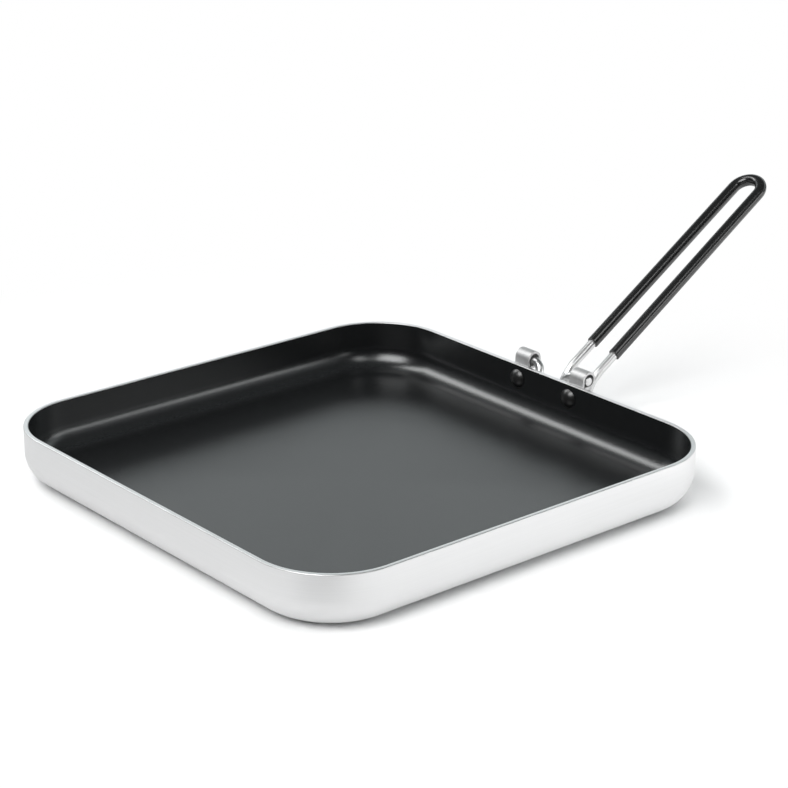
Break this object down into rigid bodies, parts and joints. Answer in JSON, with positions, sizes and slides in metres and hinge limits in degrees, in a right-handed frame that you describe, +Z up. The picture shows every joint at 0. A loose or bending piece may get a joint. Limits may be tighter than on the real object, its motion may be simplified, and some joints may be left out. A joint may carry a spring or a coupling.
{
  "type": "square frying pan",
  "caption": "Shallow square frying pan with round corners, bare aluminium outside, black non-stick inside, and a looped wire handle that folds up and over into the pan.",
  "frame": {"origin": "middle of the pan's flat underside", "axes": "+Z up out of the pan, +Y from the pan's middle towards the handle, +X to the right seen along +Y"},
  "size_m": [0.28, 0.4538, 0.1186],
  "materials": {
    "pan_aluminium": "satin, lightly brushed along the walls, with a bright machined rim",
    "nonstick_black": "satin black coating with a very fine speckle",
    "lug_steel": "brushed stainless strap with bright cut edges",
    "rivet_coated": "black coated head, bare upset end",
    "wire_steel": "polished stainless wire",
    "sleeve_black": "smooth semi-gloss black plastic sleeve"
  },
  "bodies": {
    "pan": {"pan_body": "pan_aluminium", "nonstick_coating": "nonstick_black", "handle_lug_left": "lug_steel", "handle_lug_right": "lug_steel", "lug_rivet_left": "rivet_coated", "lug_rivet_right": "rivet_coated"},
    "handle": {"handle_wire": "wire_steel", "handle_sleeve": "sleeve_black"}
  },
  "joints": [
    {"name": "handle_fold", "type": "hinge", "parent": "pan", "child": "handle", "pos_m": [0, 0.14621, 0.0327], "axis": [1, 0, 0], "range_deg": [0, 161]}
  ]
}
